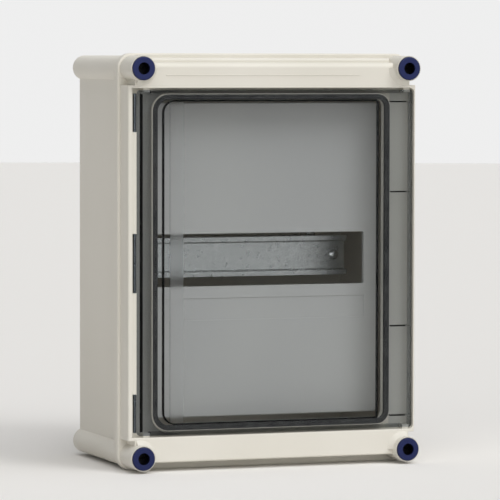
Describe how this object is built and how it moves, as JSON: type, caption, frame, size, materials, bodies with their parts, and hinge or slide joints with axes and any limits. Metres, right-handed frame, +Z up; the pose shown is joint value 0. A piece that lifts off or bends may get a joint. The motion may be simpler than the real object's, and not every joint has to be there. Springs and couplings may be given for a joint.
{
  "type": "din rail enclosure",
  "caption": "Wall-mounted insulated box for modular devices: deep base with corner tubes, screwed front frame, hinged smoked door, slotted inner plate and top-hat rail",
  "frame": {"origin": "centre of the wall face at the back of the base", "axes": "X right as seen from the front, Y back into the wall, Z up"},
  "size_m": [0.27, 0.171, 0.36],
  "materials": {
    "shell_plastic": "fine satin, light warm grey",
    "plate_plastic": "satin, light grey",
    "smoked_clear": "clear smoked polycarbonate, glossy",
    "seal_rubber": "soft black",
    "screw_plastic": "glossy navy blue",
    "zinc_steel": "zinc plated, dull"
  },
  "bodies": {
    "case": {"base_box": "shell_plastic", "cover_frame": "shell_plastic", "cover_seal": "seal_rubber", "door_seal": "seal_rubber", "hinge_pin_upper": "zinc_steel", "hinge_pin_lower": "zinc_steel", "front_plate": "plate_plastic", "din_rail": "zinc_steel", "rail_standoff_left": "shell_plastic", "rail_standoff_right": "shell_plastic", "rail_screws": "zinc_steel", "standoff_screws": "zinc_steel"},
    "door": {"window_door": "smoked_clear"},
    "screw_top_left": {"cover_screw_top_left": "screw_plastic"},
    "screw_top_right": {"cover_screw_top_right": "screw_plastic"},
    "screw_bottom_left": {"cover_screw_bottom_left": "screw_plastic"},
    "screw_bottom_right": {"cover_screw_bottom_right": "screw_plastic"}
  },
  "joints": [
    {"name": "door_hinge", "type": "hinge", "parent": "case", "child": "door", "pos_m": [-0.1261, -0.1571, 0], "axis": [0, 0, -1], "range_deg": [0, 100]},
    {"name": "screw_turn_top_left", "type": "hinge", "parent": "case", "child": "screw_top_left", "pos_m": [-0.122, -0.171, 0.167], "axis": [0, 1, 0], "range_deg": [0, 90]},
    {"name": "screw_turn_top_right", "type": "hinge", "parent": "case", "child": "screw_top_right", "pos_m": [0.122, -0.171, 0.167], "axis": [0, 1, 0], "range_deg": [0, 90]},
    {"name": "screw_turn_bottom_left", "type": "hinge", "parent": "case", "child": "screw_bottom_left", "pos_m": [-0.122, -0.171, -0.167], "axis": [0, 1, 0], "range_deg": [0, 90]},
    {"name": "screw_turn_bottom_right", "type": "hinge", "parent": "case", "child": "screw_bottom_right", "pos_m": [0.122, -0.171, -0.167], "axis": [0, 1, 0], "range_deg": [0, 90]}
  ]
}
